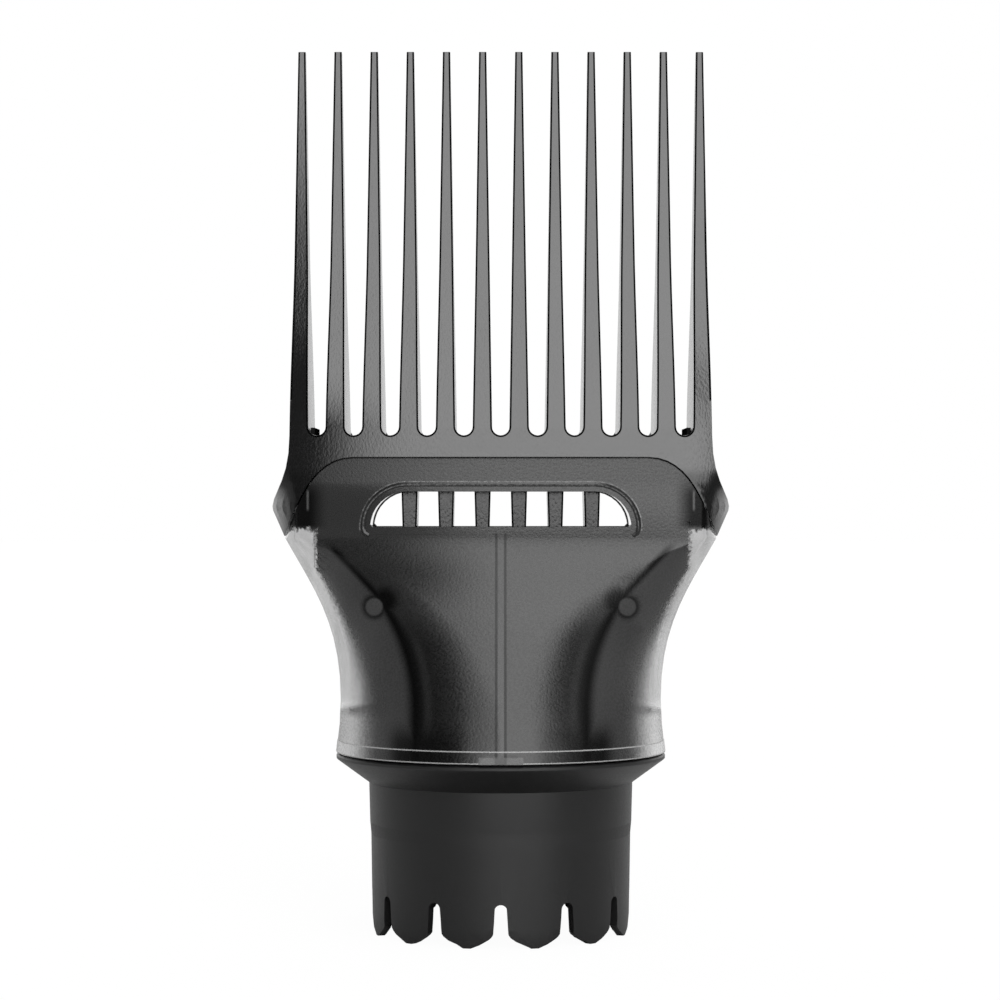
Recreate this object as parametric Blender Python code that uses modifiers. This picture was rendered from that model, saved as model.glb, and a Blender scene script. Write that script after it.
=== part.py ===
"""Comb attachment for a hair dryer, in metres, +Z up, front towards -Y.

It stands on the finger tips of its collar, with the teeth pointing up. Air comes in through the
collar, rises through the housing and leaves between the teeth. Five pieces: the comb, the two
shells of the housing, the stiff ring in the housing's mouth and the soft collar.
"""

import math

import bmesh
import bpy
from mathutils import Matrix, Vector

# Clearances and cutters
fit_gap = 0.0003
seam_gap = 0.0003
cut_overrun = 0.004
root_step = 0.00004
weld_distance = 0.000001

# Collar: a soft sleeve that grips the dryer's barrel, with a dish under the housing
finger_count = 12
bore_radius = 0.0254
skirt_foot_radius = 0.0268
skirt_lower_radius = 0.02715
skirt_mid_radius = 0.0274
skirt_upper_radius = 0.02763
skirt_top_radius = 0.02785
skirt_height = 0.0317
finger_straight_height = 0.0039
band_bottom_height = 0.0208
band_top_height = 0.0233
dish_height = 0.0060
rim_edge_height = 0.0012
rim_rounding = 0.00035
notch_height = 0.0090
notch_radius = 0.00132
notch_foot_half_width = 0.00160
finger_shoulder_height = 0.0035
finger_turn_height = 0.0015
finger_turn_half_width = 0.0031
finger_tip_flat = 0.0014

# Stiff ring: seats in the housing's mouth and stops the dryer's barrel
ring_wall = 0.0015
ring_tube_height = 0.0104
ring_cone_height = 0.0056
ring_lip_height = 0.0026
ring_lip_clearance = 0.0006

# Housing: two smoky shells, round at the mouth and flat at the panel
rim_radius = 0.03476
housing_height = 0.0451
shoulder_overhang = 0.001555
waist_handle_inset = 0.00366
waist_handle_height_share = 0.5477
shoulder_handle_inset = 0.0061
shoulder_handle_drop_share = 0.255
panel_depth = 0.0240
panel_corner = 0.0040
shell_wall = 0.0020
mouth_band_height = 0.0026
mouth_band_proud = 0.0001
mouth_band_bevel = 0.00015
flat_narrowing_share = 2.5

# Arch where the comb's skirt ends and the panel shows
arch_rise = 0.0169
arch_corner_width = 0.0150
arch_top_handle_share = 0.6
arch_foot_handle_width = 0.00325
arch_foot_handle_height_share = 0.385
arm_tip_blunt = 0.0004

# Neck of the housing, inside the comb
neck_front_wall = 0.0012
neck_end_wall = 0.0016
neck_corner = 0.0012
neck_lap_below_arch = 0.0180
duct_wall_drop = 0.0064
duct_wall = 0.0013
latch_wall = 0.0008
latch_half_depth = 0.0090
latch_rise = 0.0017

# Window through both panels
window_drop_from_arch = 0.0071
window_height = 0.0074
window_side_margin = 0.00428
window_corner_width = 0.0077
window_foot_rounding = 0.0006
bead_offset = 0.0015
bead_radius = 0.00055
bead_height = 0.0004
bead_hook = 0.0012
sill_height = 0.0015
sill_proud = 0.0002

# Ribs, vanes and pins inside the housing
centre_rib_width = 0.0015
rib_height = 0.0025
vane_thickness = 0.0013
vane_rib_width = 0.0019
vane_foot_half_width_share = 0.5
vane_handle_share = 0.22
vane_foot_height = 0.0034
vane_foot_pad_width = 0.0064
vane_foot_pad_height = 0.0015
pin_side_inset = 0.0113
pin_height_share = 0.681
pin_boss_radius = 0.0018
pin_radius = 0.0012
pin_depth = 0.0060
pin_length = 0.0070
socket_radius = 0.0025

# Key on the front shell's mouth
key_foot_width = 0.0090
key_top_width = 0.0060
key_height = 0.0018
key_proud = 0.0001

# Comb
tooth_count = 12
tooth_pitch = 0.00764
tooth_length = 0.0813
tooth_tip_width = 0.00155
tooth_root_width = 0.00405
tooth_tip_depth = 0.0021
blade_depth = 0.0076
comb_depth = 0.0268
crown_loss_share = 0.2
crown_steepness_share = 4.5
flare_start_height = 0.0015
flare_end_height = 0.0415
comb_wall = 0.0016
header_wall = 0.0025
header_band = 0.0045
ceiling_below_slots = 0.0017
tooth_edge = 0.0003
header_corner = 0.0008
arm_corner = 0.0044
arm_side_flat = 0.0012
arm_reach = 0.0027
arm_rise = 0.0067
arm_top_handle = 0.0079
arm_side_handle = 0.0026
arm_kink_width = 0.00015
arm_kink_height = 0.0009
leg_thickness = 0.0024
leg_half_depth = 0.0072
tongue_count = 6
tongue_tip_width = 0.00285
tongue_depth = 0.0132
tongue_length = 0.0220

# Facets
turn_steps = 48
ring_steps = 34
corner_steps = 10
curve_steps = 12
arc_steps = 6
slot_steps = 5
window_steps = 8

# Heights, from the finger tips up
dish_top = skirt_height + dish_height
housing_bottom = dish_top + fit_gap
shoulder_z = housing_bottom + housing_height
arch_top = shoulder_z + arch_rise
slot_bottom = arch_top + header_band
tooth_tip = slot_bottom + tooth_length
ceiling_z = slot_bottom - ceiling_below_slots
neck_top = ceiling_z - fit_gap
neck_bottom = arch_top - neck_lap_below_arch
window_bottom = arch_top - window_drop_from_arch - window_height
arm_z = shoulder_z + arm_rise
lip_top = dish_top + ring_lip_height
ring_bottom = skirt_height + fit_gap - ring_tube_height

# Widths and depths that follow from the driving sizes
half_span = (tooth_count - 1) * tooth_pitch / 2
header_half_width = half_span + tooth_root_width / 2
shoulder_half_width = header_half_width + shoulder_overhang
arch_flat_half_width = shoulder_half_width - arch_corner_width
window_half_width = tongue_count * tooth_pitch / 2 + window_side_margin
comb_half_depth = comb_depth / 2
panel_half_depth = panel_depth / 2
duct_half_depth = comb_half_depth - header_wall
duct_half_width = half_span - tooth_root_width / 2
neck_half_depth = duct_half_depth - fit_gap
neck_half_width = duct_half_width - fit_gap
neck_wall_centre = neck_half_width - neck_end_wall / 2
far_half_width = shoulder_half_width + arm_reach + cut_overrun
far_half_depth = rim_radius + cut_overrun
root_half_gap = (tooth_pitch - tooth_root_width) / 2
ring_radius = bore_radius - fit_gap
lip_radius = rim_radius - shell_wall - ring_lip_clearance


def clear_scene():
    for old in list(bpy.data.objects):
        bpy.data.objects.remove(old, do_unlink=True)


def make_collection(name):
    collection = bpy.data.collections.new(name)
    bpy.context.scene.collection.children.link(collection)
    return collection


def make_material(name, colour, roughness, metallic=0.0, alpha=1.0):
    material = bpy.data.materials.new(name)
    material.use_nodes = True
    shader = material.node_tree.nodes["Principled BSDF"]
    shader.inputs["Base Color"].default_value = (*colour, 1.0)
    shader.inputs["Roughness"].default_value = roughness
    shader.inputs["Metallic"].default_value = metallic
    shader.inputs["Alpha"].default_value = alpha
    return material


def smooth(mesh):
    mesh.shade_smooth()
    mesh.set_sharp_from_angle(angle=math.radians(35))


def add_object(name, bm, collection):
    """Turns a bmesh into an object with its faces pointing out."""
    bmesh.ops.recalc_face_normals(bm, faces=bm.faces)
    mesh = bpy.data.meshes.new(name)
    bm.to_mesh(mesh)
    bm.free()
    smooth(mesh)
    piece = bpy.data.objects.new(name, mesh)
    collection.objects.link(piece)
    return piece


def as_tool(piece):
    """Marks a cutter or a shape that is joined to another piece."""
    piece.hide_render = True
    piece.display_type = "WIRE"
    return piece


def loft_bmesh(loops, bm=None):
    """Skins a row of closed loops that have the same number of points, and caps both ends."""
    if bm is None:
        bm = bmesh.new()
    rows = [[bm.verts.new(point) for point in loop] for loop in loops]
    count = len(rows[0])
    for lower, upper in zip(rows, rows[1:]):
        for i in range(count):
            j = (i + 1) % count
            bm.faces.new((lower[i], lower[j], upper[j], upper[i]))
    bm.faces.new(list(reversed(rows[0])))
    bm.faces.new(rows[-1])
    return bm


def loft(name, loops, collection):
    return add_object(name, loft_bmesh(loops), collection)


def box(name, low, high, collection):
    bm = bmesh.new()
    size = [top - bottom for bottom, top in zip(low, high)]
    middle = [(top + bottom) / 2 for bottom, top in zip(low, high)]
    place = Matrix.Translation(middle) @ Matrix.Diagonal((*size, 1.0))
    bmesh.ops.create_cube(bm, size=1.0, matrix=place)
    return add_object(name, bm, collection)


def rod_along_y(name, centre_x, centre_z, radius, y_low, y_high, collection, steps=20):
    bm = bmesh.new()
    middle = Vector((centre_x, (y_low + y_high) / 2, centre_z))
    place = Matrix.Translation(middle) @ Matrix.Rotation(math.pi / 2, 4, "X")
    bmesh.ops.create_cone(bm, cap_ends=True, segments=steps, radius1=radius, radius2=radius,
                          depth=abs(y_high - y_low), matrix=place)
    return add_object(name, bm, collection)


def curve_to_mesh(curve_object, collection):
    """Makes a closed mesh object from a filled or bevelled curve, and removes the curve."""
    bpy.context.view_layer.update()
    evaluated = curve_object.evaluated_get(bpy.context.evaluated_depsgraph_get())
    mesh = bpy.data.meshes.new_from_object(evaluated)
    mesh.transform(curve_object.matrix_world)
    bm = bmesh.new()
    bm.from_mesh(mesh)
    bpy.data.meshes.remove(mesh)
    bmesh.ops.remove_doubles(bm, verts=bm.verts, dist=weld_distance)
    name = curve_object.name
    bpy.data.objects.remove(curve_object, do_unlink=True)
    return add_object(name, bm, collection)


def plate(name, outline, y_low, y_high, collection):
    """A flat plate: an outline of (x, z) points, extruded along Y."""
    curve = bpy.data.curves.new(name, "CURVE")
    curve.dimensions = "2D"
    curve.fill_mode = "BOTH"
    curve.extrude = (y_high - y_low) / 2
    spline = curve.splines.new("POLY")
    spline.points.add(len(outline) - 1)
    for point, (x, z) in zip(spline.points, outline):
        point.co = (x, z, 0.0, 1.0)
    spline.use_cyclic_u = True
    flat = bpy.data.objects.new(name, curve)
    collection.objects.link(flat)
    middle = Matrix.Translation((0.0, (y_low + y_high) / 2, 0.0))
    flat.matrix_world = middle @ Matrix.Rotation(math.pi / 2, 4, "X")
    return curve_to_mesh(flat, collection)


def turned(name, profile, steps, collection):
    """Turns a closed profile of (radius, z) points, given down its outer side, about Z."""
    bm = bmesh.new()
    verts = [bm.verts.new((radius, 0.0, z)) for radius, z in profile]
    for i, vert in enumerate(verts):
        bm.edges.new((vert, verts[(i + 1) % len(verts)]))
    mesh = bpy.data.meshes.new(name)
    bm.to_mesh(mesh)
    bm.free()
    piece = bpy.data.objects.new(name, mesh)
    collection.objects.link(piece)
    screw = piece.modifiers.new("turn", "SCREW")
    screw.axis = "Z"
    screw.angle = math.tau
    screw.steps = steps
    screw.render_steps = steps
    screw.use_merge_vertices = True
    screw.merge_threshold = weld_distance
    screw.use_smooth_shade = True
    return piece


def combine(piece, tool, operation):
    """Cuts a piece with a tool, or joins the tool to it."""
    modifier = piece.modifiers.new(tool.name, "BOOLEAN")
    modifier.operation = operation
    modifier.object = as_tool(tool)
    return piece


def cut(piece, tool):
    return combine(piece, tool, "DIFFERENCE")


def join(piece, tool):
    return combine(piece, tool, "UNION")


def keep_inside(piece, tool):
    return combine(piece, tool, "INTERSECT")


def bezier(start, handle_a, handle_b, end, steps):
    points = []
    for i in range(steps + 1):
        t = i / steps
        weights = ((1 - t) ** 3, 3 * t * (1 - t) ** 2, 3 * t * t * (1 - t), t ** 3)
        corners = (start, handle_a, handle_b, end)
        points.append(tuple(sum(w * c[k] for w, c in zip(weights, corners)) for k in (0, 1)))
    return points


def ease(share):
    """Rises from 0 to 1 with level ends."""
    share = min(max(share, 0.0), 1.0)
    return share * share * (3 - 2 * share)


def mirrored_outline(right_side):
    """Closes an outline whose right half is given, from top to bottom."""
    return right_side + [(-x, z) for x, z in reversed(right_side)]


def offset_line(points, distance):
    """Moves an open line sideways, to the right of its direction for a positive distance."""
    moved = []
    for i, (x, z) in enumerate(points):
        x0, z0 = points[max(i - 1, 0)]
        x1, z1 = points[min(i + 1, len(points) - 1)]
        length = math.hypot(x1 - x0, z1 - z0)
        moved.append((x + (z1 - z0) / length * distance, z - (x1 - x0) / length * distance))
    return moved


def ribbon(points, thickness):
    """The outline of a strip of even thickness along an open line."""
    one_side = offset_line(points, thickness / 2)
    return one_side + list(reversed(offset_line(points, -thickness / 2)))


# Shape of the housing

def housing_side():
    """Half widths and heights up the housing's side, from the mouth to the shoulder."""
    mouth = (rim_radius, housing_bottom)
    low = (rim_radius - waist_handle_inset,
           housing_bottom + housing_height * waist_handle_height_share)
    high = (shoulder_half_width - shoulder_handle_inset,
            shoulder_z - housing_height * shoulder_handle_drop_share)
    shoulder = (shoulder_half_width, shoulder_z)
    return bezier(mouth, low, high, shoulder, curve_steps)


def housing_half_width(z):
    side = housing_side()
    for (low_width, low_z), (high_width, high_z) in zip(side, side[1:]):
        if z <= high_z:
            share = (z - low_z) / (high_z - low_z)
            return low_width + (high_width - low_width) * share
    return shoulder_half_width


def housing_half_depth(z):
    rise_share = (z - housing_bottom) / housing_height
    return rim_radius + (panel_half_depth - rim_radius) * ease(rise_share)


def housing_flat(half_width, z):
    """Half width of the flat front at a height: none at the mouth, nearly all at the panel."""
    rise_share = min(max((z - housing_bottom) / housing_height, 0.0), 1.0)
    return (half_width - panel_corner) * rise_share ** flat_narrowing_share


def corner_points(half_width, half_depth, flat, steps):
    """One rounded corner of a section, from the side to the flat front, as (x, depth)."""
    points = []
    for i in range(steps + 1):
        turn = math.pi / 2 * i / steps
        points.append((flat + (half_width - flat) * math.cos(turn), half_depth * math.sin(turn)))
    return points


def half_section(half_width, half_depth, flat, side, seam, steps):
    """Half of a section, from the right seam over the front or rear to the left seam."""
    corner = corner_points(half_width, half_depth, flat, steps)
    right = [(x, side * max(depth, seam)) for x, depth in corner]
    return right + [(-x, y) for x, y in reversed(right)]


def closed_section(half_width, half_depth, flat, z, steps):
    """A whole section, all round, as points in space."""
    rear = half_section(half_width, half_depth, flat, 1, 0.0, steps)
    front = half_section(half_width, half_depth, flat, -1, 0.0, steps)
    ring = rear + list(reversed(front))[1:-1]
    return [(x, y, z) for x, y in ring]


def inset_section(z, inset):
    """Half width, half depth and flat of the housing's section, moved inwards."""
    half_width = housing_half_width(z)
    inner_width = half_width - inset
    flat = min(housing_flat(half_width, z), inner_width - panel_corner / 4)
    return inner_width, housing_half_depth(z) - inset, max(flat, fit_gap)


def housing_levels():
    """Heights and steps in or out of the outer face: the mouth band, then the plain body."""
    band_top = housing_bottom + mouth_band_height
    levels = [(housing_bottom, -mouth_band_bevel),
              (housing_bottom + mouth_band_bevel, mouth_band_proud),
              (band_top - mouth_band_proud, mouth_band_proud),
              (band_top, 0.0)]
    levels += [(z, 0.0) for _, z in housing_side() if z > band_top + mouth_band_bevel]
    return levels + [(arch_top + cut_overrun, 0.0)]


def shell_half(name, side, collection):
    """Half of the housing's tube, with its wall, cut along the middle plane."""
    loops = []
    for z, proud in housing_levels():
        outer = half_section(*inset_section(z, -proud), side, seam_gap / 2, corner_steps)
        inner = half_section(*inset_section(z, shell_wall), side, seam_gap / 2, corner_steps)
        loops.append([(x, y, z) for x, y in outer + list(reversed(inner))])
    return loft(name, loops, collection)


def housing_core(name, inset, collection):
    """The solid space inside the housing, a given distance in from its outer face."""
    loops = []
    for z, proud in housing_levels():
        loops.append(closed_section(*inset_section(z, inset), z, corner_steps))
    return loft(name, loops, collection)


def arch_line():
    """The arch's right half, from the middle of its top down to the shoulder."""
    top = (arch_flat_half_width, arch_top)
    top_handle = (arch_flat_half_width + arch_corner_width * arch_top_handle_share, arch_top)
    foot = (shoulder_half_width, shoulder_z)
    foot_handle = (shoulder_half_width - arch_foot_handle_width,
                   shoulder_z + arch_rise * arch_foot_handle_height_share)
    return bezier(top, top_handle, foot_handle, foot, curve_steps)


def above_arch(name, gap, collection):
    """Everything above the arch, which is cut from the shells."""
    line = offset_line(arch_line(), gap)
    foot_x, foot_z = line[-1]
    right = [(far_half_width, tooth_tip), (far_half_width, foot_z - cut_overrun),
             (foot_x + cut_overrun / 2, foot_z - cut_overrun)] + list(reversed(line))
    return plate(name, mirrored_outline(right), -far_half_depth, far_half_depth, collection)


def below_arch(name, collection):
    """Everything below the arch, which is cut from the comb."""
    line = [point for point in arch_line() if point[1] > shoulder_z + arm_tip_blunt]
    right = line + [(shoulder_half_width, shoulder_z + arm_tip_blunt),
                    (far_half_width, shoulder_z + arm_tip_blunt), (far_half_width, 0.0)]
    return plate(name, mirrored_outline(right), -far_half_depth, far_half_depth, collection)


# Comb

def slot_centres():
    return [tooth_pitch * (i + 0.5) - half_span for i in range(tooth_count - 1)]


def tooth_width(z):
    share = (z - slot_bottom) / tooth_length
    return tooth_root_width + (tooth_tip_width - tooth_root_width) * share


def comb_side_depth(z):
    """Half depth of the comb: a thin blade that flares out to the header."""
    height = z - slot_bottom
    blade_share = (height - flare_end_height) / (tooth_length - flare_end_height)
    blade = blade_depth / 2 + (tooth_tip_depth - blade_depth) / 2 * max(blade_share, 0.0)
    flare_share = (height - flare_start_height) / (flare_end_height - flare_start_height)
    return comb_half_depth + (blade - comb_half_depth) * ease(flare_share)


def arm_side():
    """Half widths and heights down the comb's arm, from the header to below its tip."""
    arm_half_width = shoulder_half_width + arm_reach
    start = (header_half_width, slot_bottom)
    start_handle = (header_half_width, slot_bottom - arm_top_handle)
    end_handle = (arm_half_width, arm_z + arm_side_handle)
    line = bezier(start, start_handle, end_handle, (arm_half_width, arm_z), curve_steps // 2)
    line.append((arm_half_width - arm_kink_width, arm_z - arm_kink_height))
    foot_share = cut_overrun / arm_rise
    line.append((shoulder_half_width, shoulder_z))
    line.append((shoulder_half_width - arm_reach * foot_share, shoulder_z - cut_overrun))
    return line


def crown(x):
    """The share of its depth that the comb has at a place across it: less near its ends."""
    return 1.0 - crown_loss_share * abs(x / header_half_width) ** crown_steepness_share


def comb_section(half_width, half_depth, corner_width, corner_depth, z):
    """A crowned rectangle with elliptical corners, and a point within each slot but the middle's."""
    quarter = []
    for i in range(arc_steps - 1):
        turn = math.pi / 2 * i / (arc_steps - 2)
        quarter.append((half_width - corner_width * (1 - math.cos(turn)),
                        half_depth - corner_depth * (1 - math.sin(turn))))
    slots = [centre + root_half_gap / 3 for centre in slot_centres() if centre > tooth_pitch / 2]
    right = quarter + [(x, half_depth) for x in reversed(slots)]
    rear = [(x, y * crown(x)) for x, y in right + [(-x, y) for x, y in reversed(right)]]
    front = [(x, -y) for x, y in reversed(rear)]
    return [(x, y, z) for x, y in rear + front]


def comb_levels():
    """Half width, half depth, corner sizes and height of the sections, from the foot up."""
    levels = []
    for half_width, z in reversed(arm_side()):
        share = ease((slot_bottom - z) / (slot_bottom - arm_z))
        corner_width = header_corner + (arm_corner - header_corner) * share
        full_depth = comb_half_depth - arm_side_flat / 2
        corner_depth = header_corner + (full_depth - header_corner) * share
        levels.append((half_width, comb_half_depth, corner_width, corner_depth, z))
    flare_length = flare_end_height - flare_start_height
    steps = arc_steps + 1
    heights = [flare_start_height + flare_length * i / steps for i in range(steps + 1)]
    for height in heights + [tooth_length]:
        z = slot_bottom + height
        half_width = half_span + tooth_width(z) / 2
        depth = comb_side_depth(z)
        corner = min(header_corner, depth / 3, tooth_width(z) / 3)
        levels.append((half_width, depth, corner, corner, z))
    return levels


def comb_blank(collection):
    return loft("comb", [comb_section(*level) for level in comb_levels()], collection)


def slot_outline(centre):
    """One gap between two teeth: it widens upwards and has a round bottom."""
    round_z = slot_bottom + root_half_gap
    top_z = tooth_tip + cut_overrun
    half_low = (tooth_pitch - tooth_width(round_z)) / 2
    half_high = (tooth_pitch - tooth_width(top_z)) / 2
    right = [(half_high, top_z), (half_low, round_z)]
    for i in range(1, slot_steps):
        turn = math.pi / 2 * i / slot_steps
        right.append((half_low * math.cos(turn), round_z - root_half_gap * math.sin(turn)))
    left = [(-x, z) for x, z in reversed(right)]
    return [(centre + x, z) for x, z in right + [(0.0, slot_bottom)] + left]


def slot_cutter(collection):
    """All the gaps between the teeth as one cutter of separate plates."""
    bm = bmesh.new()
    for centre in slot_centres():
        outline = slot_outline(centre)
        ends = (-far_half_depth, far_half_depth)
        loft_bmesh([[(x, y, z) for x, z in outline] for y in ends], bm)
    return add_object("slot_cutter", bm, collection)


def air_cutter(collection):
    """Opens the header's ceiling between the fins, so that air reaches the slots."""
    bm = bmesh.new()
    half = root_half_gap - tooth_edge / 2
    low = ceiling_z - cut_overrun / 2
    high = slot_bottom + root_half_gap
    depth = duct_half_depth - tooth_edge
    for centre in slot_centres():
        place = Matrix.Translation((centre, 0.0, (low + high) / 2))
        size = Matrix.Diagonal((2 * half, 2 * depth, high - low, 1.0))
        bmesh.ops.create_cube(bm, size=1.0, matrix=place @ size)
    return add_object("air_cutter", bm, collection)


def tongue(index, collection):
    """A fin's tapered lower end, which splits the air behind the window."""
    centre = (index - (tongue_count - 1) / 2) * tooth_pitch
    top_z = ceiling_z + ceiling_below_slots / 2
    foot_z = top_z - tongue_length
    top_half = tooth_root_width / 2 - root_step
    foot_half = tongue_tip_width / 2
    right = [(top_half, top_z), (foot_half, foot_z + foot_half)]
    for i in range(1, arc_steps):
        turn = math.pi / 2 * i / arc_steps
        right.append((foot_half * math.cos(turn), foot_z + foot_half * (1 - math.sin(turn))))
    left = [(-x, z) for x, z in reversed(right)]
    outline = [(centre + x, z) for x, z in right + [(0.0, foot_z)] + left]
    return plate(f"tongue_{index + 1}", outline, -tongue_depth / 2, tongue_depth / 2, collection)


def arm_leg(side, collection):
    """The arm's inner leg, which enters the housing's shoulder beside the neck."""
    inner = side * (duct_half_width - comb_wall)
    outer = side * (duct_half_width + leg_thickness)
    low = (min(inner, outer), -leg_half_depth, shoulder_z + arm_rise / 2)
    high = (max(inner, outer), leg_half_depth, arch_top - comb_wall)
    name = "leg_right" if side > 0 else "leg_left"
    return box(name, low, high, collection)


def make_comb(parts, tools, material):
    comb = comb_blank(parts)
    cut(comb, slot_cutter(tools))
    cut(comb, below_arch("comb_arch_cutter", tools))
    edges = comb.modifiers.new("edges", "BEVEL")
    edges.width = tooth_edge
    edges.segments = 1
    edges.limit_method = "ANGLE"
    edges.angle_limit = math.radians(60)
    join(comb, arm_leg(-1, tools))
    join(comb, arm_leg(1, tools))
    low = (-duct_half_width, -duct_half_depth, shoulder_z - cut_overrun)
    high = (duct_half_width, duct_half_depth, ceiling_z)
    cut(comb, box("duct_cutter", low, high, tools))
    cut(comb, air_cutter(tools))
    for index in range(tongue_count):
        join(comb, tongue(index, tools))
    comb.data.materials.append(material)
    return comb


# Shells

def window_arc(offset):
    """The window's right edge, from its flat top round to the sill, moved outwards."""
    points = []
    for i in range(window_steps + 1):
        turn = math.pi / 2 * (1 - i / window_steps)
        x = window_half_width - window_corner_width + (window_corner_width + offset) * math.cos(turn)
        points.append((x, window_bottom + (window_height + offset) * math.sin(turn)))
    return points


def window_cutter(collection):
    right = window_arc(0.0)[:-1]
    right.append((window_half_width, window_bottom + window_foot_rounding))
    right.append((window_half_width - window_foot_rounding, window_bottom))
    return plate("window_cutter", mirrored_outline(right), -far_half_depth, far_half_depth,
                 collection)


def window_bead(side, collection):
    """A half-round bead over the window, hooked in under its lower corners."""
    right = window_arc(bead_offset)
    foot_x = window_half_width + bead_offset
    right.append((foot_x - bead_hook / 4, window_bottom - bead_hook))
    right.append((foot_x - bead_hook, window_bottom - bead_offset - bead_hook / 4))
    route = list(reversed([(-x, z) for x, z in right])) + right
    name = "bead_front" if side < 0 else "bead_rear"
    curve = bpy.data.curves.new(name, "CURVE")
    curve.dimensions = "3D"
    curve.bevel_depth = bead_radius
    curve.bevel_resolution = 1
    curve.use_fill_caps = True
    spline = curve.splines.new("POLY")
    spline.points.add(len(route) - 1)
    depth = side * (panel_half_depth - bead_radius + bead_height)
    for point, (x, z) in zip(spline.points, route):
        point.co = (x, depth, z, 1.0)
    bead = bpy.data.objects.new(name, curve)
    collection.objects.link(bead)
    return curve_to_mesh(bead, collection)


def sill(side, collection):
    half = window_half_width - window_foot_rounding
    near = side * (panel_half_depth - neck_front_wall)
    far = side * (panel_half_depth + sill_proud)
    low = (-half, min(near, far), window_bottom - sill_height)
    high = (half, max(near, far), window_bottom - root_step)
    return box("sill_front" if side < 0 else "sill_rear", low, high, collection)


def neck_half(side, collection):
    """Half of the neck, the box that the comb slides over."""
    flat = neck_half_width - neck_corner
    outer = half_section(neck_half_width, neck_half_depth, flat, side, seam_gap / 2, arc_steps - 2)
    inner_width = neck_half_width - neck_end_wall
    inner_flat = inner_width - neck_corner / 2
    inner = half_section(inner_width, neck_half_depth - neck_front_wall, inner_flat, side,
                         seam_gap / 2, arc_steps - 2)
    ring = outer + list(reversed(inner))
    loops = [[(x, y, z) for x, y in ring] for z in (neck_bottom, neck_top)]
    return loft("neck_front" if side < 0 else "neck_rear", loops, collection)


def wall_box(name, side, centre_x, width, near, far, z_low, z_high, collection):
    """A box that runs from a depth near the seam to one further out, on one side."""
    depths = sorted((side * near, side * far))
    low = (centre_x - width / 2, depths[0], z_low)
    high = (centre_x + width / 2, depths[1], z_high)
    return box(name, low, high, collection)


def duct_wall_piece(side, hand, tools):
    """The neck's end wall, carried on down inside the shoulder."""
    name = f"duct_wall_{'front' if side < 0 else 'rear'}_{'right' if hand > 0 else 'left'}"
    return wall_box(name, side, hand * neck_wall_centre, duct_wall, seam_gap / 2, far_half_depth,
                    shoulder_z - duct_wall_drop, neck_bottom + duct_wall_drop, tools)


def latch(side, hand, tools):
    """A tab that rises from the neck's end wall into the comb's outermost gap."""
    name = f"latch_{'front' if side < 0 else 'rear'}_{'right' if hand > 0 else 'left'}"
    centre = neck_half_width - root_step - latch_wall / 2
    return wall_box(name, side, hand * centre, latch_wall, seam_gap / 2, latch_half_depth,
                    neck_top - neck_lap_below_arch / 2, slot_bottom + latch_rise, tools)


def centre_rib(side, core, hollow, tools):
    """A rib down the middle of the shell's inner face."""
    name = "centre_rib_front" if side < 0 else "centre_rib_rear"
    rib = wall_box(name, side, 0.0, centre_rib_width, panel_half_depth / 4, far_half_depth,
                   lip_top + fit_gap, window_bottom - fit_gap, tools)
    keep_inside(rib, core)
    return cut(rib, hollow)


def pin_centre(hand):
    """Where a pin stands, a set distance in from the housing's side."""
    pin_z = housing_bottom + housing_height * pin_height_share
    return hand * (housing_half_width(pin_z) - pin_side_inset), pin_z


def vane_foot_centre(hand):
    return hand * rim_radius * vane_foot_half_width_share, housing_bottom + vane_foot_height


def vane_line(hand, inset=0.0):
    """From the duct wall, or a distance in from it, to the pin, then down to the mouth."""
    pin_x, pin_z = pin_centre(1)
    foot_x, foot_z = vane_foot_centre(1)
    handle = (pin_z - foot_z) * vane_handle_share
    start = (neck_wall_centre - inset, shoulder_z - fit_gap - inset)
    low = bezier((pin_x, pin_z), (pin_x - socket_radius / 2, pin_z - handle),
                 (foot_x, foot_z + 2 * handle), (foot_x, foot_z), arc_steps)
    return [(hand * x, z) for x, z in [start] + low]


def vane_rib(hand, core, hollow, tools):
    """A rib on the front shell's inner face, over the rear shell's vane."""
    name = "vane_rib_right" if hand > 0 else "vane_rib_left"
    line = vane_line(hand, (duct_wall + vane_rib_width) / 2)
    strip = plate(name, ribbon(line, vane_rib_width), -far_half_depth, -seam_gap, tools)
    keep_inside(strip, core)
    return cut(strip, hollow)


def vane(hand, core, tools):
    """The rear shell's guide vane, as deep as the middle plane."""
    name = "vane_right" if hand > 0 else "vane_left"
    strip = plate(name, ribbon(vane_line(hand), vane_thickness), seam_gap / 2, far_half_depth,
                  tools)
    return keep_inside(strip, core)


def vane_foot(hand, core, tools):
    name = "vane_foot_right" if hand > 0 else "vane_foot_left"
    foot_x, foot_z = vane_foot_centre(hand)
    pad = wall_box(name, 1, foot_x, vane_foot_pad_width, seam_gap, far_half_depth,
                   foot_z - fit_gap, foot_z + vane_foot_pad_height, tools)
    return keep_inside(pad, core)


def pin_boss(hand, core, tools):
    """The front shell's boss: its round end shows through the smoky wall."""
    name = "pin_boss_right" if hand > 0 else "pin_boss_left"
    boss = rod_along_y(name, *pin_centre(hand), pin_boss_radius, -far_half_depth, -pin_depth,
                       tools)
    return keep_inside(boss, core)


def pin(hand, tools):
    name = "pin_right" if hand > 0 else "pin_left"
    return rod_along_y(name, *pin_centre(hand), pin_radius, -pin_depth - pin_radius,
                       pin_length - pin_depth, tools)


def socket(hand, core, tools):
    """The rear shell's socket, which takes the pin."""
    name = "socket_right" if hand > 0 else "socket_left"
    post = rod_along_y(name, *pin_centre(hand), socket_radius, -pin_depth + fit_gap,
                       far_half_depth, tools)
    return keep_inside(post, core)


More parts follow.
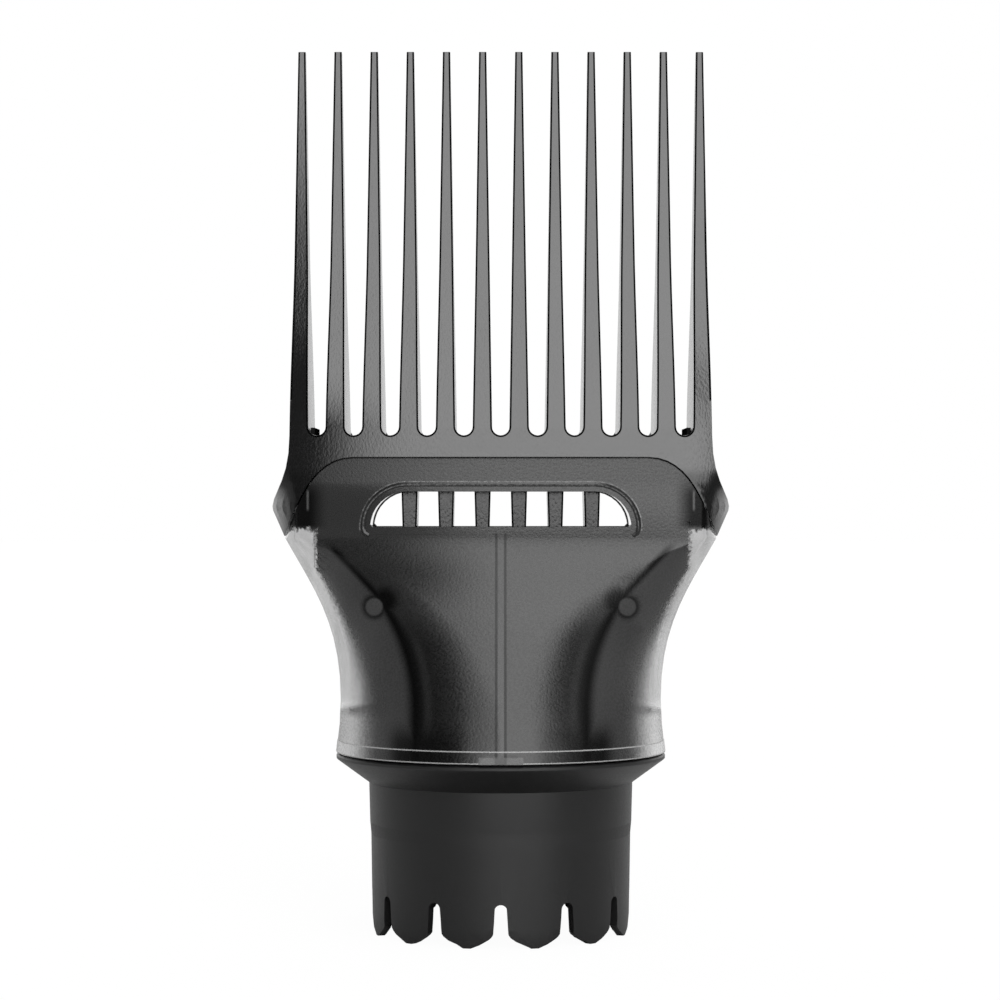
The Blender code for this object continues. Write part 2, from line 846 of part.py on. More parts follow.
def socket_bore(hand, tools):
    name = "socket_bore_right" if hand > 0 else "socket_bore_left"
    return rod_along_y(name, *pin_centre(hand), pin_radius + fit_gap,
                       -pin_depth - cut_overrun, pin_length - pin_depth + fit_gap, tools)


def key_pad(tools):
    """The low key in the middle of the front shell's mouth band."""
    foot = key_foot_width / 2
    top = key_top_width / 2
    low = housing_bottom + key_proud
    outline = [(foot, low), (-foot, low), (-top, low + key_height), (top, low + key_height)]
    depth = rim_radius + mouth_band_proud + key_proud
    return plate("key_pad", outline, -depth, shell_wall - depth, tools)


def make_shell(name, side, parts, tools, shared, material):
    shell = shell_half(name, side, parts)
    cut(shell, shared["above_arch"])
    join(shell, neck_half(side, tools))
    for hand in (-1, 1):
        join(shell, keep_inside(duct_wall_piece(side, hand, tools), shared["core"]))
        join(shell, latch(side, hand, tools))
    join(shell, centre_rib(side, shared["core"], shared["hollow"], tools))
    join(shell, window_bead(side, tools))
    join(shell, sill(side, tools))
    cut(shell, shared["window"])
    shell.data.materials.append(material)
    return shell


def make_front_shell(parts, tools, shared, material):
    shell = make_shell("front_shell", -1, parts, tools, shared, material)
    join(shell, key_pad(tools))
    for hand in (-1, 1):
        join(shell, pin_boss(hand, shared["core"], tools))
        join(shell, pin(hand, tools))
        join(shell, vane_rib(hand, shared["core"], shared["hollow"], tools))
    return shell


def make_rear_shell(parts, tools, shared, material):
    shell = make_shell("rear_shell", 1, parts, tools, shared, material)
    for hand in (-1, 1):
        join(shell, vane(hand, shared["core"], tools))
        join(shell, vane_foot(hand, shared["core"], tools))
        join(shell, socket(hand, shared["core"], tools))
        cut(shell, socket_bore(hand, tools))
    return shell


# Ring and collar

def make_ring(parts, material):
    """The stiff ring: a tube for the barrel to stop on, a cone and a lip in the mouth."""
    cone_low = skirt_height + fit_gap
    cone_high = cone_low + ring_cone_height
    reach = lip_radius - ring_radius
    rise = ring_wall * (math.hypot(reach, ring_cone_height) - ring_cone_height) / reach
    profile = [
        (lip_radius, lip_top),
        (lip_radius, cone_high),
        (ring_radius, cone_low),
        (ring_radius, ring_bottom),
        (ring_radius - ring_wall, ring_bottom),
        (ring_radius - ring_wall, cone_low + rise),
        (lip_radius - ring_wall, cone_high + rise),
        (lip_radius - ring_wall, lip_top),
    ]
    ring = turned("inner_ring", profile, ring_steps, parts)
    ring.data.materials.append(material)
    return ring


def collar_profile():
    """The collar's section, down its outer side and up its inner side."""
    cone_low = skirt_height
    cone_high = cone_low + ring_cone_height
    outer = [
        (rim_radius - rim_rounding, dish_top),
        (rim_radius, dish_top - rim_rounding),
        (rim_radius, dish_top - rim_edge_height + rim_rounding),
        (rim_radius - rim_rounding, dish_top - rim_edge_height),
        (skirt_top_radius, skirt_height),
        (skirt_upper_radius, band_top_height),
        (skirt_mid_radius, band_bottom_height),
        (skirt_lower_radius, finger_straight_height),
        (skirt_foot_radius, 0.0),
    ]
    inner = [
        (bore_radius, 0.0),
        (bore_radius, cone_low),
        (lip_radius + fit_gap, cone_high),
        (lip_radius + fit_gap, dish_top),
    ]
    return outer + inner


def notch_outline():
    """The gap between two fingers: a round-topped slot that opens into the two tips."""
    half_pitch = math.pi * skirt_lower_radius / finger_count
    top_centre = notch_height - notch_radius
    right = []
    for i in range(arc_steps):
        turn = math.pi / 2 * (1 - i / arc_steps)
        right.append((notch_radius * math.cos(turn), top_centre + notch_radius * math.sin(turn)))
    shoulder = (notch_foot_half_width, finger_shoulder_height)
    turn_point = (finger_turn_half_width, finger_turn_height)
    handle = (notch_foot_half_width, (finger_shoulder_height + finger_turn_height) / 2)
    right.append((notch_radius, top_centre))
    right += bezier(shoulder, handle, handle, turn_point, arc_steps // 2)
    tip = half_pitch - finger_tip_flat / 2
    right.append((tip, 0.0))
    right.append((tip, -cut_overrun))
    return right + [(-x, z) for x, z in reversed(right[1:])]


def notch_cutter(tools):
    """All the notches as one cutter, each a wedge that keeps to its own share of the turn."""
    bm = bmesh.new()
    radii = (bore_radius - cut_overrun, skirt_top_radius + cut_overrun)
    for i in range(finger_count):
        spin = Matrix.Rotation(math.tau * i / finger_count, 3, "Z")
        loops = []
        for radius in radii:
            spread = radius / skirt_lower_radius
            loops.append([spin @ Vector((x * spread, -radius, z)) for x, z in notch_outline()])
        loft_bmesh(loops, bm)
    return add_object("notch_cutter", bm, tools)


def make_collar(parts, tools, material):
    collar = turned("collar", collar_profile(), turn_steps, parts)
    cut(collar, notch_cutter(tools))
    collar.data.materials.append(material)
    return collar


def build():
    clear_scene()
    parts = make_collection("dryer_comb")
    tools = make_collection("cutters")
    comb_plastic = make_material("comb_plastic", (0.050, 0.050, 0.052), 0.42)
    smoke_plastic = make_material("smoke_plastic", (0.060, 0.060, 0.063), 0.30, alpha=0.75)
    ring_plastic = make_material("ring_plastic", (0.020, 0.020, 0.020), 0.45)
    collar_rubber = make_material("collar_rubber", (0.028, 0.028, 0.027), 0.60)
    shared = {
        "above_arch": above_arch("shell_arch_cutter", fit_gap, tools),
        "core": housing_core("housing_core", shell_wall / 2, tools),
        "hollow": housing_core("rib_hollow", shell_wall + rib_height, tools),
        "window": window_cutter(tools),
    }
    make_comb(parts, tools, comb_plastic)
    make_front_shell(parts, tools, shared, smoke_plastic)
    make_rear_shell(parts, tools, shared, smoke_plastic)
    make_ring(parts, ring_plastic)
    make_collar(parts, tools, collar_rubber)


build()
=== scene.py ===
"""Comb attachment for a hair dryer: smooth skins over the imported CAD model, their materials, a plain
studio and the camera. Metres, +Z up, front towards -Y.
"""

import math

import bmesh
import bpy
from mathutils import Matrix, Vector


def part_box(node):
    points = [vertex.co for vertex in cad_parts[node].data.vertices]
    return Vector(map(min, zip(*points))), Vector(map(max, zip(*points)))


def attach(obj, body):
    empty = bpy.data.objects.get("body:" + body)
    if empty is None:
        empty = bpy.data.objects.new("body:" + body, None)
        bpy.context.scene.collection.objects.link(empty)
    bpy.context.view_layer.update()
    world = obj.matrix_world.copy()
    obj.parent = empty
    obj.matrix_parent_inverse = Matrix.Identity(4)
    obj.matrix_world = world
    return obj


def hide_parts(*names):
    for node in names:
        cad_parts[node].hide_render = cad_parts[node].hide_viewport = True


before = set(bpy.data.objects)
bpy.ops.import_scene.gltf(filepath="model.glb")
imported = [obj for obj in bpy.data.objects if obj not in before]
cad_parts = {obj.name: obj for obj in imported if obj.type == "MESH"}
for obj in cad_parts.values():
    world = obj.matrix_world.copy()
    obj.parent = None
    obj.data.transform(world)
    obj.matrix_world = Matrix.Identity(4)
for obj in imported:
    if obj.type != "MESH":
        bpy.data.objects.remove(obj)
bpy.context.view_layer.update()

# A pair of places or directions says where a fade starts and ends. A pair of tones, roughnesses or
# shares says what a look varies between. A fineness is the grains of a noise to a metre.

# Camera
camera_place = (-0.00016, -0.635, 0.0911)
lens = 108.0
sensor = 36.0
near_clip = 0.01

# Floor
floor_radius = 6.0
floor_corners = 96
floor_colour = (0.45, 0.45, 0.45, 1.0)
floor_level = 0.43
floor_shadow_share = 0.08

# Studio light, by the direction that it comes from
white = (1.0, 1.0, 1.0, 1.0)
backdrop_strength = 1.0
backdrop_fade = (0.15, 0.60)
room_strength = 0.08
softbox_strength = 3.3
softbox_left = (-0.62, -0.06)
softbox_right = (0.56, 0.81)
softbox_back = (0.0, 0.35)
softbox_narrowing = 1.4
left_strength = 0.30
left_fade = (-0.98, -0.85)
right_strength = 0.08
right_fade = (0.30, 0.70)
strip_strength = 0.25
strip_inner = (0.40, 0.65)
strip_outer = (0.75, 0.93)

# Skins
weld_distance = 0.000002
flat_angle = math.radians(0.3)
sharp_angle = math.radians(32.0)

# Marks in the materials
hairline = 0.0002
line_blur = 0.00010
fine_blur = 0.00005

# Comb's shape
tooth_count = 12
tooth_pitch = 0.00764
tooth_length = 0.0813
tooth_root_width = 0.00405
tooth_tip_width = 0.00155
tongue_count = 6
tongue_foot = 0.0831
tongue_top = 0.10365
tongue_foot_half = 0.001425
tongue_top_half = 0.0020
header_foot = 0.0985
arm_top = 0.1120
arm_turn = 0.0425
duct_front_half_width = 0.0385
duct_front_half_depth = 0.0080
arm_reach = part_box("comb")[1][0]
tooth_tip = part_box("comb")[1][2]
slot_bottom = tooth_tip - tooth_length
half_span = (tooth_count - 1) * tooth_pitch / 2
outer_slot = half_span - tooth_pitch / 2
tongue_span = tongue_count * tooth_pitch / 2
root_half_gap = (tooth_pitch - tooth_root_width) / 2
tip_half_gap = (tooth_pitch - tooth_tip_width) / 2
header_half_width = half_span + tooth_root_width / 2

# Comb's shading: how far its faces lean over sideways
crown_middle = 0.133
crown_end = 0.292
crown_power = 1.75
crown_right_share = 0.75
crown_height = 0.0125
header_tilt = 0.06
outer_root_lean = 0.20
outer_root_fade = (0.112, 0.128)
outer_blade_lean = 0.176
outer_blade_fade = (0.148, 0.172)
arm_lean = 4.0
arm_fade = (0.0890, 0.0975)
front_normal = 0.85
corner_normal = 0.10

# Comb's finish
comb_tones = (0.003, 0.005)
# Painted shade: the darker tone along the edges of the gaps and tongues and on faces that look inwards
comb_edge_shade_tone = 0.001
comb_roughness = (0.16, 0.21)
comb_grain_fineness = 2400.0
comb_grain_turn = 0.7
comb_grain_stretch = (1.0, 1.0, 0.6)
comb_grain_depth = 0.000035
comb_cloud_fineness = 180.0
comb_gloss = 0.9
tongue_gloss = 0.56
tongue_fade = (0.0955, 0.0985)
# Where the painted edge shade lies, and which faces it darkens
edge_shade_width = (0.00032, 0.00042)
inner_shade_side = (-0.0020, -0.0010)
front_fade = (0.80, 0.85)
bevel_across = (0.40, 0.60)
bevel_along = (0.02, 0.06)

# Housing's shape
mouth_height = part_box("front_shell")[0][2]
band_top = 0.0406
duct_foot = 0.0470
duct_foot_half = 0.02945
duct_wall_foot = 0.0767
duct_flare = 0.0096
duct_power = 1.75
# Each vane's course, which its painted shade, the painted light beyond it and its painted glow follow
vane_bend = 0.0722
vane_foot_half = 0.0173
vane_flare = 0.0090
vane_power = 2.25
vane_slope = 0.97
vane_top = (0.0800, 0.0830)
vane_foot_width = 0.0026
vane_head_width = 0.0018
vane_narrowing = (0.058, 0.076)
vane_edge = 0.0006
pin_half_span = 0.0262
pin_height = 0.0690
pin_radius = 0.0018
sill_foot = 0.0840
window_foot = 0.0855
window_flat = 0.0195
window_corner = 0.0077
window_squash = 1.04
leg_foot = 0.0856
latch_foot = 0.1003

# Housing's clear sides: how much each wall lets through, and where
through_wall = (0.77, 0.85)
through_foot = (0.0455, 0.0475)
through_rim = 0.95
clear_middle = 0.0004
clear_fade = (-0.71, 0.29)
clear_foot_blur = 0.0099
clear_blur_loss = 0.0087
clear_fuzz = 0.0028
clear_fuzz_fineness = 1400.0
clear_top = (leg_foot - 0.0008, leg_foot + 0.0002)
clear_lumps = 0.0040
clear_lump_fineness = 650.0
streak_fineness = 260.0
streak_turn = 0.45
streak_stretch = (1.0, 1.0, 0.12)
rim_offset = 0.0010
rim_half_width = 0.0007
rim_rear = (0.0050, 0.0055)
rim_foot = (window_foot, window_foot + 0.0003)

# Housing's marks, most of them painted light, painted highlights and painted shade of the forms behind
# the wall
# A painted glow inside each vane's foot
glow_inset = 0.0026
glow_half_width = 0.0008
glow_blur = 0.0007
glow_top = (0.060, 0.066)
# Painted light on each pin's end and a ring of painted shade round it
pin_blur = 0.0003
ring_radius = 0.0025
ring_blur = 0.0009
# A painted shadow beside each pin
pin_shadow_inset = 0.0022
pin_shadow_rise = 0.0013
pin_shadow_radius = 0.0026
pin_shadow_blur = 0.0014
# Painted light along the centre rib and painted shade on each side of it
rib_half_width = 0.00065
rib_end = (sill_foot, sill_foot + 0.0004)
rib_shade_offset = 0.00092
rib_shade_half_width = 0.00027
# Painted highlights along the bead
bead_offsets = (0.0014, 0.0021)
bead_half_width = 0.00012
bead_blur = 0.00008
bead_foot = (window_foot - 0.0010, window_foot - 0.0006)
bead_sparkle = (0.25, 1.0)
bead_sparkle_fineness = 1400.0
leg_side = (0.0355, 0.0400)
leg_bottom = (0.0848, 0.0860)
leg_top = (0.0915, 0.0975)
glint_offset = 0.0401
glint_bottom = (0.0885, 0.0895)
glint_top = (0.0925, 0.0935)
# Painted shade at the vanes' feet by the mouth
foot_shade_inner = (0.0060, 0.0100)
foot_shade_outer = (0.0205, 0.0245)
foot_shade_top = (0.0415, 0.0475)
key_side = (0.0044, 0.0046)
key_top = (0.0394, 0.0396)
# Painted light low on the clear sides, by the mouth
skirt_top = (0.0470, 0.0500)
# Painted highlights along the band's top and the lip
band_highlight_half_width = 0.00012
lip_height = mouth_height + 0.0002
lip_highlight_half_width = 0.00014

# Housing's finish: the grey of each mark, laid on in this order, and how much gloss a mark takes away.
# Most marks are painted light, highlights or shade, and the gloss taken away deepens the painted shade.
wall_tones = (0.003, 0.012)
wall_fade = (0.060, 0.070)
# Painted light on the wall beyond each vane
beyond_vane_light_tone = 0.034
mark_tones = (("glow", 0.010), ("shaded", 0.001), ("key", 0.060), ("pin", 0.048), ("rib", 0.018),
              ("leg", 0.001), ("glint", 0.10), ("bead", 0.16), ("skirt", 0.60), ("line", 0.30))
mark_dullness = (("latch", 1.0), ("rib_shade", 0.45), ("leg", 0.8), ("dark", 0.6), ("foot", 0.35))
smoke_gloss = 0.57
smoke_roughness = (0.24, 0.32)
frost_fineness = 2000.0
frost_depth = 0.000030

# Housing's shading: how strongly it is crowned across, and how it leans
wall_crown = -6.0
panel_crown = -2.8
right_crown = -2.6
right_side = (0.0, 0.0005)
right_rise = (0.064, 0.075)
panel_foot = (0.083, 0.095)
crown_foot = (0.045, 0.066)
crown_swell = (0.067, 0.078)
crown_below_swell = 0.57
panel_lean = -0.04
band_tilt = -0.14

# Ring's finish
ring_tones = (0.012, 0.020)
ring_roughness = (0.40, 0.50)
ring_grain_fineness = 1500.0

# Collar's finish
collar_tones = (0.006, 0.009)
collar_roughness = (0.32, 0.40)
collar_skin_fineness = 2200.0
collar_cloud_fineness = 120.0
collar_band_bottom = (0.0206, 0.0210)
collar_band_top = (0.0231, 0.0235)
collar_band_roughness = 0.08

# Shared by the finishes: how cool a black is, and over which values noise fades from low to high
cool_share = 1.02
matt_grain_depth = 0.00001
noise_range = (0.3, 0.7)
sparkle_range = (0.35, 0.65)


class Field:
    """What a shader node puts out. Sums and products of fields add Math nodes to the same tree."""

    def __init__(self, socket):
        self.socket = socket
        self.tree = socket.id_data

    def __abs__(self):
        return maths("ABSOLUTE", self)

    def __add__(self, other):
        return maths("ADD", self, other)

    def __sub__(self, other):
        return maths("SUBTRACT", self, other)

    def __rsub__(self, other):
        return maths("SUBTRACT", other, self)

    def __mul__(self, other):
        return maths("MULTIPLY", self, other)

    def __truediv__(self, other):
        return maths("DIVIDE", self, other)

    def __pow__(self, power):
        return maths("POWER", self, power)


def feed(target, name, source):
    """Links a field to a node's input, or sets the input to a plain value."""
    socket = target.inputs[name]
    if isinstance(source, Field):
        source.tree.links.new(source.socket, socket)
    else:
        socket.default_value = source


def add_node(tree, kind, inputs=(), **settings):
    """Adds a shader node, sets its properties and feeds its inputs, by name or number."""
    new = tree.nodes.new(kind)
    for name, value in settings.items():
        setattr(new, name, value)
    for name, source in dict(inputs).items():
        feed(new, name, source)
    return new


def maths(operation, *values):
    """A Math node on fields and plain numbers."""
    tree = next(value.tree for value in values if isinstance(value, Field))
    return Field(add_node(tree, "ShaderNodeMath", enumerate(values), operation=operation).outputs[0])


def most(*values):
    """The largest of several fields."""
    result = values[0]
    for value in values[1:]:
        result = maths("MAXIMUM", result, value)
    return result


def ramp(value, low, high, start=0.0, end=1.0, shape="SMOOTHSTEP"):
    """Goes smoothly from start to end while the value goes from low to high."""
    inputs = {"Value": value, "From Min": low, "From Max": high, "To Min": start, "To Max": end}
    new = add_node(value.tree, "ShaderNodeMapRange", inputs, interpolation_type=shape)
    return Field(new.outputs["Result"])


def even_ramp(value, low, high, start=0.0, end=1.0):
    """Goes evenly from start to end while the value goes from low to high."""
    return ramp(value, low, high, start, end, shape="LINEAR")


def until(value, low, high):
    """Whole up to low and nothing past high."""
    return ramp(value, low, high, 1.0, 0.0)


def stripe(distance, half_width, blur=line_blur):
    """Whole on a line and nothing beyond it, from the distance off its middle."""
    return until(abs(distance), half_width - blur, half_width + blur)


def disc(across, over, radius, blur):
    """Whole within a disc and nothing beyond it, from the distances off its middle."""
    return until(length(across, over), radius - blur, radius + blur)


def length(across, over):
    """The length of the slanting side over two square sides."""
    return maths("SQRT", across * across + over * over)


def object_place(tree):
    """Where a point is on its piece, in metres."""
    return Field(add_node(tree, "ShaderNodeTexCoord").outputs["Object"])


def true_normal(tree):
    """Which way a face looks, before any smooth shading."""
    return Field(add_node(tree, "ShaderNodeNewGeometry").outputs["True Normal"])


def split(vector):
    """A vector's three parts, as fields."""
    return [Field(part) for part in add_node(vector.tree, "ShaderNodeSeparateXYZ", {0: vector}).outputs]


def noise(place, fineness, detail=2.0, roughness=0.5):
    """Noise about a half, with roughly as many grains to a metre as its fineness says."""
    inputs = {"Vector": place, "Scale": fineness, "Detail": detail, "Roughness": roughness}
    return Field(add_node(place.tree, "ShaderNodeTexNoise", inputs).outputs["Fac"])


def stretch(place, turn, scale):
    """Turns a place about Y and scales it, so that grain runs one way."""
    inputs = {"Vector": place, "Rotation": (0.0, turn, 0.0), "Scale": scale}
    return Field(add_node(place.tree, "ShaderNodeMapping", inputs).outputs["Vector"])


def bump(height, depth, normal=None):
    """A normal that follows a height, over another normal where one is given."""
    new = add_node(height.tree, "ShaderNodeBump", {"Height": height, "Distance": depth, "Strength": 1.0})
    if normal is not None:
        feed(new, "Normal", normal)
    return Field(new.outputs["Normal"])


def mix(share, first, second):
    """A number between two, by share."""
    return Field(add_node(share.tree, "ShaderNodeMix", {0: share, 2: first, 3: second}).outputs[0])


def mix_colour(share, first, second):
    """A colour between two, by share."""
    new = add_node(share.tree, "ShaderNodeMix", {0: share, 6: first, 7: second}, data_type="RGBA")
    return Field(new.outputs[2])


def grey(value):
    """A colour from a plain grey value, faintly cool as black plastic is."""
    return (value, value, value * cool_share, 1.0)


def grey_field(value):
    """A colour from a field of grey values."""
    inputs = {"Red": value, "Green": value, "Blue": value}
    return Field(add_node(value.tree, "ShaderNodeCombineColor", inputs).outputs[0])


def new_material(name):
    """An empty material, its node tree and its shader."""
    material = bpy.data.materials.new(name)
    material.use_nodes = True
    tree = material.node_tree
    return material, tree, tree.nodes["Principled BSDF"]


def comb_plastic():
    """Black moulded plastic with a fine satin grain that runs askew, and painted shade that darkens the
    edges of its gaps and tongues and its faces that look inwards.
    """
    material, tree, shader = new_material("comb_plastic_satin")
    place = object_place(tree)
    up = split(place)[2]
    grain = noise(stretch(place, comb_grain_turn, comb_grain_stretch), comb_grain_fineness, detail=1.0)
    cloud = noise(place, comb_cloud_fineness)
    edges = painted_edge_shade(place)
    colour = mix_colour(cloud, grey(comb_tones[0]), grey(comb_tones[1]))
    # Painted shade along the edges, laid over the plastic's tone
    feed(shader, "Base Color", mix_colour(edges, colour, grey(comb_edge_shade_tone)))
    feed(shader, "Roughness", ramp(grain, *noise_range, *comb_roughness))
    gloss = ramp(up, *tongue_fade, tongue_gloss, comb_gloss)
    feed(shader, "Specular IOR Level", mix(most(edges, tooth_bevels(tree, up)), gloss, 0.0))
    feed(shader, "Normal", bump(grain, comb_grain_depth))
    return material


def tooth_bevels(tree, up):
    """Whole on the small bevels along the teeth, which lean over sideways."""
    normal = split(true_normal(tree))
    return (ramp(abs(normal[0]), *bevel_across) * ramp(abs(normal[1]), *bevel_along)
            * ramp(up, arm_top - hairline, arm_top))


def painted_edge_shade(place):
    """Painted shade: whole along the edges of the comb's gaps and tongues, and on its faces that look
    inwards.
    """
    across, along, up = split(place)
    half = abs(across)
    facing = split(true_normal(place.tree))[1]
    off_gap = maths("PINGPONG", half, tooth_pitch / 2)

    drop = most(slot_bottom + root_half_gap - up, 0.0) * until(half, half_span - hairline, half_span)
    gap = even_ramp(up, slot_bottom, tooth_tip, root_half_gap, tip_half_gap)
    gaps = (until(length(off_gap, drop) - gap, *edge_shade_width)
            * ramp(up, header_foot - hairline, header_foot))

    half_tongue = even_ramp(up, tongue_foot, tongue_top, tongue_foot_half, tongue_top_half)
    tongues = (until(half_tongue + off_gap - tooth_pitch / 2, *edge_shade_width)
               * until(half, tongue_span - hairline, tongue_span)
               * until(up, header_foot - hairline, header_foot))

    inside = until(facing * along, *inner_shade_side)
    return most(gaps, tongues, inside) * ramp(abs(facing), *front_fade)


def smoke_plastic():
    """Smoky plastic, finely frosted: clear along the housing's sides, dark over its duct, with painted
    light and shade for the forms behind it.
    """
    material, tree, shader = new_material("smoke_plastic_frosted")
    place = object_place(tree)
    clear = clear_share(place)
    marks = smoke_marks(place, clear)
    frost = noise(place, frost_fineness, detail=1.0, roughness=0.6)
    feed(shader, "Alpha", smoke_alpha(place, clear))
    feed(shader, "Base Color", grey_field(smoke_tone(place, marks)))
    feed(shader, "Roughness", ramp(frost, *noise_range, *smoke_roughness))
    dull = most(*[marks[name] * share for name, share in mark_dullness])
    feed(shader, "Specular IOR Level", even_ramp(dull, 0.0, 1.0, smoke_gloss, 0.0))
    feed(shader, "Normal", bump(frost, frost_depth, bump(smoke_crown(place), depth=1.0)))
    return material


def clear_share(place):
    """How clear the housing is: whole at its sides, nothing over its duct and its legs."""
    across, along, up = split(place)
    fuzz = noise(place, clear_fuzz_fineness, roughness=0.6) * clear_fuzz
    half = abs(across - clear_middle) + fuzz - clear_fuzz / 2
    rise = even_ramp(up, duct_foot, duct_wall_foot)
    duct = rise ** duct_power * duct_flare + duct_foot_half
    blur = clear_foot_blur - rise * clear_blur_loss
    lumps = noise(place, clear_lump_fineness, detail=1.0) * clear_lumps
    return ramp((half - duct) / blur, *clear_fade) * until(up + lumps - clear_lumps / 2, *clear_top)


def smoke_alpha(place, clear):
    """How much of the light a wall stops: less at the clear sides and at the rear window's rim."""
    across, along, up = split(place)
    streaks = noise(stretch(place, streak_turn, streak_stretch), streak_fineness, detail=1.0)
    sides = clear * ramp(up, *through_foot) * ramp(streaks, *noise_range, *through_wall)
    rim = (stripe(window_offset(place) - rim_offset, rim_half_width)
           * ramp(along, *rim_rear) * ramp(up, *rim_foot) * through_rim)
    return 1.0 - most(sides, rim)


def smoke_tone(place, marks):
    """The grey of the smoky wall, with every mark laid on it in turn, most of them painted light or
    shade.
    """
    up = split(place)[2]
    tone = mix(marks["beyond"], ramp(up, *wall_fade, *wall_tones), beyond_vane_light_tone)
    for name, mark_tone in mark_tones:
        tone = mix(marks[name], tone, mark_tone)
    return tone


def smoke_crown(place):
    """A height whose slope bends the housing's gloss: crowned across, with a leaning panel and band."""
    across, along, up = split(place)
    right = ramp(across, *right_side) * ramp(up, *right_rise)
    strength = mix(right, ramp(up, *panel_foot, wall_crown, panel_crown), right_crown)
    swell = ramp(up, *crown_foot) * ramp(up, *crown_swell, crown_below_swell, 1.0)
    crown = across * across * swell * strength
    lean = (up - sill_foot) * ramp(up, *panel_foot) * panel_lean
    band = (up - band_top) * ramp(up, band_top - hairline, band_top, band_tilt, 0.0)
    return crown + lean + band


def smoke_marks(place, clear):
    """Every form that shows in the smoky wall, by name, most as painted light or shade: whole on the
    form and nothing beside it.
    """
    across, along, up = split(place)
    half = abs(across)
    marks = {**vane_marks(half, up), **pin_marks(half, up), **rib_marks(half, up),
             **leg_marks(half, up), **mouth_marks(half, up), "bead": painted_bead_highlights(place)}
    # Painted light low on the clear sides, where the wall turns opaque by the mouth
    marks["skirt"] = clear * clear * clear * until(up, *skirt_top)
    # Painted shade: the vanes, the rings and shadows by the pins, and then the vanes' feet
    marks["dark"] = most(marks["vane"], marks["ring"], marks["socket"])
    marks["shaded"] = most(marks["dark"], marks["foot"])
    return marks


def vane_marks(half, up):
    """The vane's painted shade as a dark line, painted light on the wall beyond it and a painted glow
    inside its foot.
    """
    low = even_ramp(up, duct_foot, vane_bend) ** vane_power * vane_flare
    high = most(up - vane_bend, 0.0) * vane_slope
    offset = half - (low + vane_foot_half + high)
    below = until(up, *vane_top)
    width = ramp(up, *vane_narrowing, vane_foot_width, vane_head_width)
    return {"vane": until(abs(offset) / width, 0.0, 1.0) * below,
            "beyond": ramp(offset, -vane_edge, vane_edge) * below,
            "glow": stripe(offset + glow_inset, glow_half_width, glow_blur) * until(up, *glow_top)}


def pin_marks(half, up):
    """Each pin's end painted pale with the light it carries, a ring of painted shade round it and a
    painted shadow beside it.
    """
    across = half - pin_half_span
    over = up - pin_height
    return {"pin": disc(across, over, pin_radius, pin_blur),
            "ring": disc(across, over, ring_radius, ring_blur),
            "socket": disc(across + pin_shadow_inset, over - pin_shadow_rise, pin_shadow_radius, pin_shadow_blur)}


def rib_marks(half, up):
    """The centre rib, painted paler with the light it carries, and a dull line of painted shade on each
    side of it.
    """
    below = until(up, *rib_end)
    return {"rib": stripe(half, rib_half_width) * below,
            "rib_shade": stripe(half - rib_shade_offset, rib_shade_half_width) * below}


def leg_marks(half, up):
    """The comb's dark legs with a glint down each, and the latches over them."""
    leg = ramp(half, *leg_side) * ramp(up, *leg_bottom) * until(up, *leg_top)
    glint = stripe(half - glint_offset, hairline, hairline) * leg
    return {"leg": leg,
            "glint": glint * ramp(up, *glint_bottom) * until(up, *glint_top),
            "latch": ramp(up, latch_foot, latch_foot + hairline)}


def mouth_marks(half, up):
    """Painted shade at the vanes' feet, the key pad and painted highlights along the fine lines of the
    mouth's band.
    """
    lip = stripe(up - lip_height, lip_highlight_half_width, fine_blur) * ramp(half, *key_side)
    return {"foot": ramp(half, *foot_shade_inner) * until(half, *foot_shade_outer) * until(up, *foot_shade_top),
            "key": until(up, *key_top) * until(half, *key_side),
            "line": most(stripe(up - band_top, band_highlight_half_width, fine_blur), lip)}


def painted_bead_highlights(place):
    """Two painted highlights that sparkle along the bead round the window."""
    up = split(place)[2]
    window = window_offset(place)
    lines = most(*[stripe(window - offset, bead_half_width, bead_blur) for offset in bead_offsets])
    sparkle = ramp(noise(place, bead_sparkle_fineness), *sparkle_range, *bead_sparkle)
    return lines * sparkle * ramp(up, *bead_foot)


def window_offset(place):
    """Distance out from the window's arched outline."""
    across, along, up = split(place)
    past = most(abs(across) - window_flat, 0.0)
    return length(past, (up - window_foot) * window_squash) - window_corner


def ring_plastic():
    """Plain black plastic, semi-matt."""
    material, tree, shader = new_material("ring_plastic_matt")
    grain = noise(object_place(tree), ring_grain_fineness)
    feed(shader, "Base Color", mix_colour(grain, grey(ring_tones[0]), grey(ring_tones[1])))
    feed(shader, "Roughness", ramp(grain, *noise_range, *ring_roughness))
    feed(shader, "Normal", bump(grain, matt_grain_depth))
    return material


def collar_rubber():
    """Soft black rubber with a dry skin, duller in a band above the fingers."""
    material, tree, shader = new_material("collar_rubber_matt")
    place = object_place(tree)
    up = split(place)[2]
    skin = noise(place, collar_skin_fineness, detail=4.0, roughness=0.65)
    cloud = noise(place, collar_cloud_fineness)
    band = ramp(up, *collar_band_bottom) * until(up, *collar_band_top) * collar_band_roughness
    feed(shader, "Base Color", mix_colour(cloud, grey(collar_tones[0]), grey(collar_tones[1])))
    feed(shader, "Roughness", ramp(skin, *noise_range, *collar_roughness) + band)
    feed(shader, "Normal", bump(skin, matt_grain_depth))
    return material


def ease(value, low, high):
    """Goes smoothly from 0 to 1 while a plain number goes from low to high."""
    share = min(max((value - low) / (high - low), 0.0), 1.0)
    return share * share * (3 - 2 * share)


def header_share(z):
    """Whole on the comb's header and nothing on its teeth."""
    return 1 - ease(z, slot_bottom, slot_bottom + crown_height)


